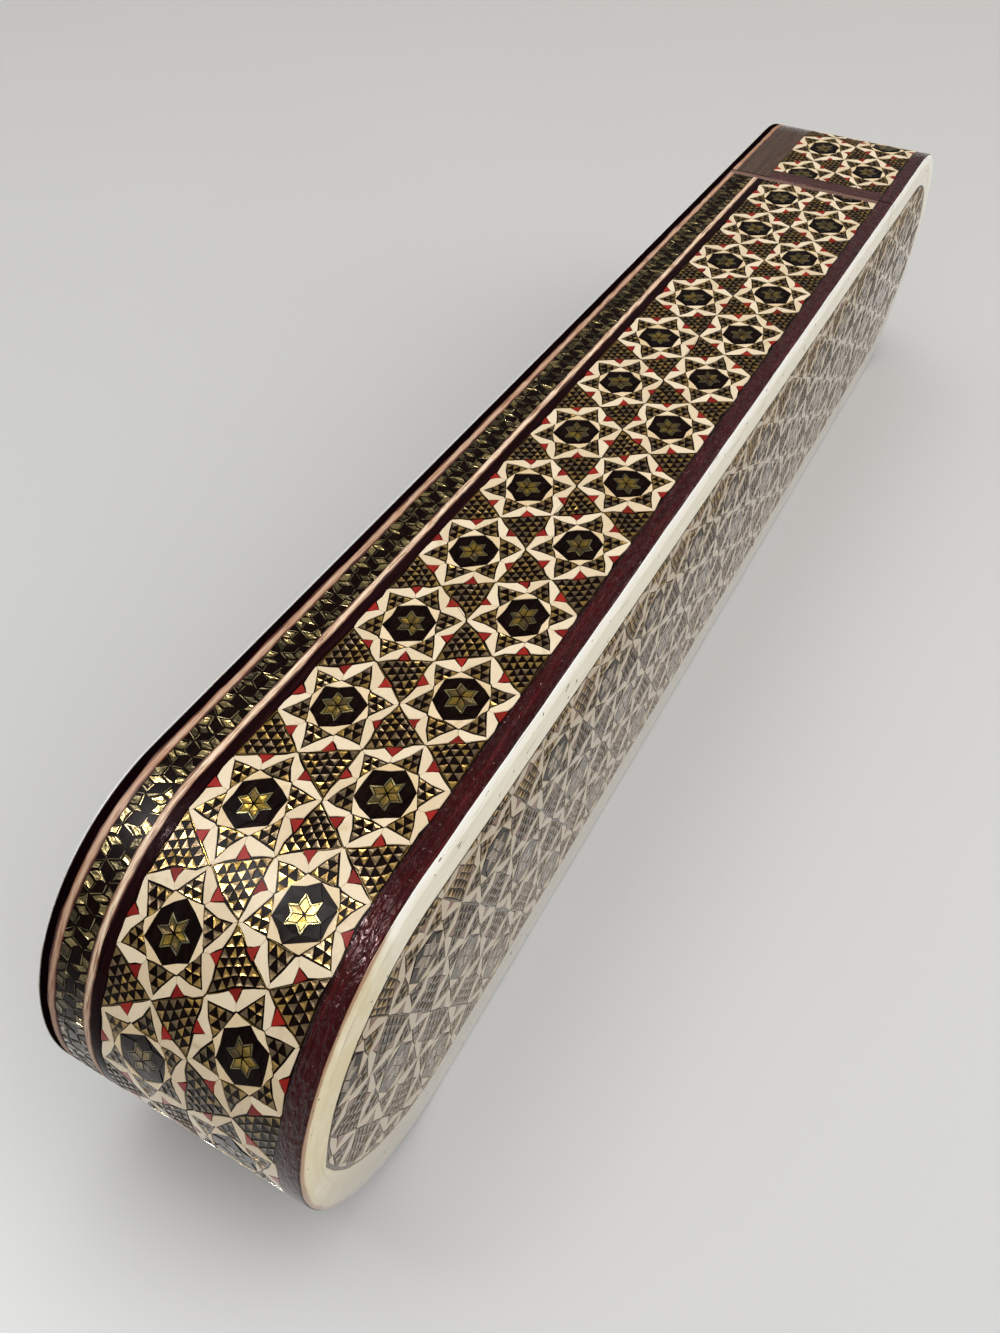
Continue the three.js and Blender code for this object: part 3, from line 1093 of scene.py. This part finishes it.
# For each kind of tile: its finish, the gap round it, its edge's slope, its dish and its tilt, in mm
KINDS = {
    "bone": (BONE, 0.006, 0.014, 0.0, 0.012),
    "sliver": (SLIVER, 0.008, 0.014, 0.0, 0.01),
    "red": (RED, 0.012, 0.02, 0.0, 0.02),
    "brass": (BRASS, 0.026, 0.02, 0.04, 0.045),
    "heart": (OLIVE_BRASS, 0.03, 0.015, 0.035, 0.04),
    "rim": (PALE_BRASS, 0.012, 0.02, 0.0, 0.04),
    "ebony": (GROUND, 0.02, 0.02, 0.02, 0.03),
    "wire": (OLIVE_BRASS, 0.004, 0.012, 0.0, 0.0),
    "leaf": (LEAF_BRASS, 0.085, 0.03, 0.03, 0.05),
    "leaf_rim": (LEAF_RIM_BRASS, 0.022, 0.02, 0.0, 0.04),
}
LONG_KINDS = ("bone", "sliver", "leaf")
WOBBLE = {"wobble": 1.15 * MM, "wobble_scale": 260.0}
LEAF_WOBBLE = {"wobble": 1.1 * MM, "wobble_scale": 620.0}


def lay_tiles(name, outline, tiles, places, divisions=1, turn=None, wobble=WOBBLE):
    """All kinds of tiles of one region, grown one kind at a time and joined.

    places holds the inputs that say where they lie. divisions cuts the long kinds up, to bend with the wall.
    """
    cutter = prism(name + "_cutter", outline)
    meshes = []
    for number, (kind, outlines) in enumerate(tiles.items()):
        finish, gap, slope, pit, tilt = KINDS[kind]
        stencil = cut_tiles(name + "_" + kind, outlines, gap * MM, slope * MM, pit * MM)
        inputs = {"tiles": stencil, "outline": cutter, "finish": finish, "tilt": tilt * MM}
        inputs["seed"] = 11 * number + 5
        inputs["divisions"] = divisions if kind in LONG_KINDS else 0
        meshes.append(grow(name, **inputs, **places, **wobble))
        bpy.data.objects.remove(stencil)
    bpy.data.objects.remove(cutter)
    return join_meshes(name, meshes, turn)


def lattice(length, columns, first_column, column_step, first_row, row_step):
    """Places in columns and rows, with rows to spare past length. Each second column is half a row on."""
    return {
        "columns": columns, "first_column": first_column, "column_step": column_step, "column_lift": 0.5,
        "rows": math.ceil(length / row_step) + SPARE_ROWS, "first_row": first_row, "row_step": row_step,
    }


def wall_inputs(wall, low):
    """How tiles are bent round a wall, and how their map is folded into bands for the bake."""
    fold = wall.length / WALL_BANDS + FOLD_SPARE
    return {
        "wall_start": wall.start, "turn_centre": wall.centre, "turn_side": float(wall.side),
        "turn_radius": OUTER_RADIUS, "turn_height": MIDDLE_Z,
        "fold": fold, "map_low": low, "map_scale": MAP_WIDTH / (fold + MAP_SPARE),
    }


def wall_stars(body, first_left):
    """The two columns of stars round a wall. first_left is the way along the wall to a left star's middle."""
    name = f"{NODE_PREFIX[body]}_star_band"
    low, high = (corner.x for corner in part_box(name))
    wall = wall_of(body, "star_band")
    half = (high - low) / 4
    outline = [(low, 0), (high, 0), (high, wall.length), (low, wall.length)]
    first_row = first_left % STAR_PITCH - 2 * STAR_PITCH
    places = lattice(wall.length, 2, low + half, 2 * half, first_row, STAR_PITCH) | wall_inputs(wall, low)
    piece = lay_tiles(name + "_tiles", outline, star_outlines(STAR_PITCH, half, HEART_REACH), places)
    finish_piece(piece, body, "star_inlay")


def wall_flowers():
    """The flower band's tiles, round the sleeve's wall."""
    low, high = FLOWER_LOW.x, FLOWER_HIGH.x
    wall = wall_of("sleeve", "star_band")
    walk = [wall.length * i / OUTLINE_STEPS for i in range(OUTLINE_STEPS + 1)]
    outline = [(low + bend(low, along), along) for along in reversed(walk)]
    outline += [(high + bend(high, along), along) for along in walk]
    first_row = FLOWER_START - FLOWER_PITCH
    places = lattice(wall.length, 1, (low + high) / 2, 0.0, first_row, FLOWER_PITCH) | wall_inputs(wall, low)
    leaves = flower_outlines(FLOWER_PITCH, FLOWER_REACH)
    piece = lay_tiles("sleeve_flower_band_tiles", outline, leaves, places, wobble=LEAF_WOBBLE)
    finish_piece(piece, "sleeve", "flower_inlay")


# The plates


def field_radius(angle):
    """The star panel's radius round an end: the edging beside it thins towards the tip."""
    turned = min(angle, math.pi - angle)
    share = max(0.0, (turned - THINNING_START) / (math.pi / 2 - THINNING_START))
    return FIELD_RADIUS + TIP_THINNING * share ** THINNING_POWER


def field_outline(body, shrink):
    """The outline of a plate's star panel as (up from the middle, along), moved inward by shrink."""
    wall = wall_of(body, "right_star_panel")
    end = wall.start + wall.side * shrink
    points = [(FIELD_RADIUS - shrink, end)]
    for i in range(FIELD_STEPS + 1):
        angle = math.pi * i / FIELD_STEPS
        radius = field_radius(angle) - shrink
        points.append((radius * math.cos(angle), wall.centre + wall.side * radius * math.sin(angle)))
    return points + [(shrink - FIELD_RADIUS, end)]


def panel_turn(side):
    """Lays flat tiles (across, along, out) on the right plate's face (side 1) or the left one's (side -1)."""
    return Matrix(((0, 0, side, side * FACE_X), (0, 1, 0, 0), (-side, 0, 0, MIDDLE_Z), (0, 0, 0, 1)))


def on_face(side, up, along, height):
    return panel_turn(side) @ Vector((-side * up, along, height))


def panel_stars(name, body, side):
    """A plate's stars, in five columns. They stay flat, because the tree's turn is set 1 m away."""
    outline = [(-side * up, along) for up, along in field_outline(body, PANEL_MARGIN)]
    low = min(along for up, along in outline)
    length = max(along for up, along in outline) - low
    first_column = side * (MIDDLE_Z - PANEL_ROWS_Z) - 2 * PANEL_STEP
    first_row = low + (FIRST_PANEL_STAR - low) % PANEL_PITCH - 1.5 * PANEL_PITCH
    places = lattice(length, 5, first_column, PANEL_STEP, first_row, PANEL_PITCH)
    places |= {"wall_start": 0.0, "turn_centre": 1.0, "turn_side": 1.0}
    places |= {"turn_radius": 0.0, "turn_height": 0.0}
    places |= {"fold": PANEL_FOLD, "map_low": -FIELD_RADIUS, "map_scale": MAP_WIDTH / (2 * PANEL_FOLD)}
    tiles = star_outlines(PANEL_PITCH, PANEL_STEP / 2, PANEL_HEART_REACH)
    return lay_tiles(name, outline, tiles, places, 0, panel_turn(side))


def panel_ground(name, body, side):
    """The black wood under a panel's tiles, as a thin plate with the panel's round end."""
    outline = field_outline(body, 0)
    rings = [[on_face(side, *point, height) for point in outline] for height in (-PANEL_SHEET, -GROUND_DEPTH)]
    return loft(name, rings, GROUND)


def edging_path(wall):
    """Pairs of places on an edging's outer and inner outlines, as (up from the middle, along)."""
    path = []
    for i in range(EDGING_FLATS):
        along = wall.start + (wall.centre - wall.start) * i / EDGING_FLATS
        path.append(((OUTER_RADIUS, along), (FIELD_RADIUS, along)))
    flat = list(reversed(path))
    for i in range(EDGING_ARCS + 1):
        angle = math.pi * i / EDGING_ARCS
        up, out = math.cos(angle), wall.side * math.sin(angle)
        radii = (OUTER_RADIUS, field_radius(angle))
        path.append([(radius * up, wall.centre + radius * out) for radius in radii])
    return path + [((-OUTER_RADIUS, along), (-FIELD_RADIUS, along)) for (outer, along), inner in flat]


def edging(name, body, side):
    """A plate's bone edging, from the wall's outline to the star panel's, with a lip over the wall's strip.

    The right plate's is worn: its rim wanders, and its face falls towards the rim.
    """
    wall = wall_of(body, "right_bone_edging")
    fall = FACE_FALL if side > 0 else 0.0
    lip = EDGE_LIP + fall
    rings = []
    marks = []
    walked = 0.0
    before = None
    for outer, inner in edging_path(wall):
        outer, inner = Vector(outer), Vector(inner)
        walked += (outer - before).length if before else 0
        before = outer
        width = (inner - outer).length
        end = width + INNER_WANDER * wander(walked, side * 2.0 + wall.side)
        start = RIM_WEAR + RIM_WANDER * wander(walked, 5.0) if side > 0 else 0.0
        face = start + RIM_ROUNDING
        section = [(LAP_DEPTH, -PANEL_SHEET), (LAP_DEPTH, -lip), (start, -lip), (start, -fall - RIM_ROUNDING)]
        section += [(start + across, -fall - down) for across, down in quarter(RIM_ROUNDING)]
        section += [(face + FALL_WIDTH * i / 5, -fall * (1 - i / 5) ** 2) for i in range(5)]
        section += [(face + FALL_WIDTH, 0.0), (end - INNER_BEVEL, 0)]
        section += [(end, -INNER_BEVEL), (end, -PANEL_SHEET)]
        places = [(outer.lerp(inner, inward / width), height) for inward, height in section]
        rings.append([on_face(side, *place, height) for place, height in places])
        marks.append([(inward, walked) for inward, height in section])
    return loft(name, rings, EDGING, marks)


def bar(node, material, drop=0.0):
    """A straight strip across the wall's top or bottom, its outer edges bevelled."""
    low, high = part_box(node)
    top = low.z > MIDDLE_Z
    face, back = (high.z - drop, low.z) if top else (low.z + drop, high.z)
    edge = face + (-BAR_BEVEL if top else BAR_BEVEL)
    section = [(low.y, back), (low.y, edge), (low.y + BAR_BEVEL, face)]
    section += [(high.y - BAR_BEVEL, face), (high.y, edge), (high.y, back)]
    places = [low.x + (high.x - low.x) * i / BAR_STEPS for i in range(BAR_STEPS + 1)]
    rings = [[Vector((x, y, z)) for y, z in section] for x in places]
    marks = [[(y, x) for y, z in section] for x in places]
    return loft(node + "_dressed", rings, material, marks)


def dress_plates():
    for body, prefix in NODE_PREFIX.items():
        for side, side_name in ((1, "right"), (-1, "left")):
            panel = f"{prefix}_{side_name}_star_panel"
            rim = f"{prefix}_{side_name}_bone_edging"
            finish_piece(panel_ground(panel + "_ground", body, side), body, "star_inlay", panel)
            finish_piece(panel_stars(panel + "_tiles", body, side), body, "star_inlay")
            finish_piece(edging(rim + "_dressed", body, side), body, "bone", rim)


def dress_seams():
    for place in ("upper", "lower"):
        node = "sleeve_mouth_line_" + place
        finish_piece(bar(node, MOUTH_PINK), "sleeve", "pink_wood", node)
    for place in ("upper", "lower"):
        node = "head_seam_band_" + place
        finish_piece(bar(node, SEAM, PLAIN_DROP), "drawer", "maroon_lacquer", node)


wall_strips()
wall_flowers()
dress_plates()
dress_seams()
wall_stars("sleeve", STAR_HIGH.y + SLEEVE_PHASE * STAR_PITCH)
wall_stars("drawer", HEAD_PHASE * STAR_PITCH)


# Camera, floor and light

FLOOR_SIZE = 6.0

# The lens, and the camera's place, view and right side, fitted to the photograph
LENS = 28.85
SENSOR_HEIGHT = 36
CAMERA_PLACE = Vector((42.96, -122.40, 119.61)) * MM
CAMERA_VIEW = Vector((-0.3279, 0.5979, -0.7314)).normalized()
CAMERA_RIGHT = Vector((0.8746, 0.4849, 0.0044))

# For each lamp: its name, place, aim and width in metres, its watts, and whether it makes glints only
LAMPS = (
    ("ceiling_softbox", (-0.1, 0.6, 1.4), (0, 0, 0), 1.6, 10.4, False),
    ("right_softbox", (1.1, 0.2, 0.95), (0, 0, 0), 1.8, 16.0, False),
    ("left_softbox", (-1.2, 0.2, 1.1), (0, 0, 0), 1.8, 4.0, False),
    ("front_softbox", (0.1, -1.3, 0.9), (0, 0, 0), 1.7, 4.2, False),
    ("glint_lamp", (-0.42, -0.24, 0.93), (0, -0.08, 0.03), 0.66, 5.7, True),
    ("spark_lamp", (-0.403, -0.286, 0.883), (0, -0.08, 0.03), 0.12, 5.0, True),
    ("edge_lamp", (0.45, 0.75, 0.75), (0, -0.05, 0.04), 0.5, 2.0, True),
)


def look():
    data = bpy.data.cameras.new("photo_camera")
    data.sensor_fit = "VERTICAL"
    data.sensor_height = SENSOR_HEIGHT
    data.lens = LENS
    data.clip_start = 0.005
    data.clip_end = 20
    camera = put("photo_camera", data)
    right = (CAMERA_RIGHT - CAMERA_VIEW * CAMERA_RIGHT.dot(CAMERA_VIEW)).normalized()
    turn = Matrix((right, right.cross(CAMERA_VIEW), -CAMERA_VIEW)).transposed().to_4x4()
    camera.matrix_world = Matrix.Translation(CAMERA_PLACE) @ turn
    bpy.context.scene.camera = camera


def floor():
    """A pale sheet, paler towards the camera and greyer away from it: painted light and shade on the floor.
    """
    finish = Finish("floor_sheet")
    finish.set("Roughness", 0.5)
    along = finish.part(finish.place(), "Y")
    # painted light and shade: the floor is paler near the camera and greyer away from it
    painted_far_shade = (along + (finish.spots(14.0, 2.0) - 0.5) * 0.1).smooth(-0.25, 0.45)
    finish.set("Base Color", finish.over((208, 208, 207), (painted_far_shade, (195, 193, 189))))
    made = bmesh.new()
    bmesh.ops.create_grid(made, x_segments=2, y_segments=2, size=FLOOR_SIZE / 2)
    mesh = mesh_of("floor", made)
    mesh.materials.append(finish.material)
    put("floor", mesh)


def lamp(name, place, aim, width, watts, only_glints):
    data = bpy.data.lights.new(name, "AREA")
    data.shape = "DISK"
    data.size = width
    data.energy = watts
    made = put(name, data)
    place = Vector(place)
    turn = (place - Vector(aim)).to_track_quat("Z", "Y").to_matrix().to_4x4()
    made.matrix_world = Matrix.Translation(place) @ turn
    made.visible_diffuse = not only_glints
    made.visible_glossy = only_glints
    made.visible_camera = False


def light():
    world = bpy.data.worlds.new("studio")
    bpy.context.scene.world = world
    world.use_nodes = True
    backdrop = world.node_tree.nodes["Background"]
    backdrop.inputs["Color"].default_value = (1.0, 0.99, 0.975, 1)
    backdrop.inputs["Strength"].default_value = 0.25
    for row in LAMPS:
        lamp(*row)


look()
floor()
light()

settings = bpy.context.scene.view_settings
settings.view_transform = "Standard"

# The finish of each slot, for the frame's own nodes
SLOT_FINISHES = {
    "star_inlay": GROUND, "flower_inlay": GROUND, "bone": EDGING, "pink_wood": PINK, "maroon_lacquer": MAROON,
    "plum_lacquer": PLUM, "black_wood": DARK, "core_wood": CORE_WOOD, "tray_wood": TRAY_WOOD,
}
for row in frame["record"]["subparts"]:
    for slot in bpy.data.objects[row["node"]].material_slots:
        slot.material = SLOT_FINISHES[row["material_slot"]]
